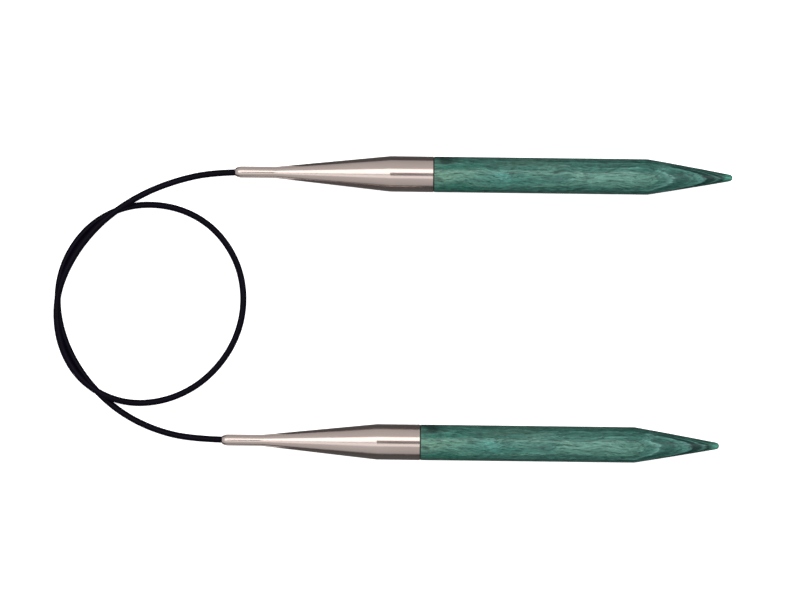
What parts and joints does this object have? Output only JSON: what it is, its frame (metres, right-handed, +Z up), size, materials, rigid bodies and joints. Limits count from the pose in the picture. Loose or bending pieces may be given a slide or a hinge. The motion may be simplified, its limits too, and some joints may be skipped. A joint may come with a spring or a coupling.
{
  "type": "circular knitting needle",
  "caption": "Circular knitting needle: two pointed laminated wood tips in tapered metal ferrules, joined by one thin flexible cable lying in a loop.",
  "frame": {"origin": "on the surface that the needles lie on, under the middle of the box round both needles, cable left out", "axes": "+X along both needles towards their points, +Y from needle b to needle a, +Z up"},
  "size_m": [0.1905, 0.0852, 0.01],
  "materials": {
    "wood": "dyed laminated birch, satin lacquer",
    "ferrule_metal": "polished nickel plate",
    "cable": "smooth black nylon",
    "crimp_metal": "plain turned steel",
    "glue": "cured dark epoxy"
  },
  "bodies": {
    "cable": {"cable": "cable", "cable_bead_a": "crimp_metal"},
    "cable_end_b": {"cable_bead_b": "crimp_metal"},
    "needle_a": {"needle_a_ferrule": "ferrule_metal", "needle_a_bead_stop": "crimp_metal", "needle_a_glue_line": "glue", "needle_a_veneer_01": "wood", "needle_a_veneer_02": "wood", "needle_a_veneer_03": "wood", "needle_a_veneer_04": "wood", "needle_a_veneer_05": "wood", "needle_a_veneer_06": "wood", "needle_a_veneer_07": "wood", "needle_a_veneer_08": "wood", "needle_a_veneer_09": "wood", "needle_a_veneer_10": "wood", "needle_a_veneer_11": "wood", "needle_a_veneer_12": "wood", "needle_a_veneer_13": "wood"},
    "needle_b": {"needle_b_ferrule": "ferrule_metal", "needle_b_bead_stop": "crimp_metal", "needle_b_glue_line": "glue", "needle_b_veneer_01": "wood", "needle_b_veneer_02": "wood", "needle_b_veneer_03": "wood", "needle_b_veneer_04": "wood", "needle_b_veneer_05": "wood", "needle_b_veneer_06": "wood", "needle_b_veneer_07": "wood", "needle_b_veneer_08": "wood", "needle_b_veneer_09": "wood", "needle_b_veneer_10": "wood", "needle_b_veneer_11": "wood", "needle_b_veneer_12": "wood", "needle_b_veneer_13": "wood"}
  },
  "joints": [
    {"name": "needle_a_swivel", "type": "hinge", "parent": "cable", "child": "needle_a", "pos_m": [-0.06838, 0.03765, 0.005], "axis": [1, 0, 0], "continuous": true},
    {"name": "cable_flex", "type": "hinge", "parent": "cable", "child": "cable_end_b", "pos_m": [-0.1007, 0.0003, 0.005], "axis": [0, 0, 1], "range_deg": [-45, 22], "stiffness_Nm_per_rad": 0.005, "deforming": ["cable"]},
    {"name": "needle_b_swivel", "type": "hinge", "parent": "cable_end_b", "child": "needle_b", "pos_m": [-0.07122, -0.03765, 0.005], "axis": [1, 0, 0], "continuous": true}
  ]
}
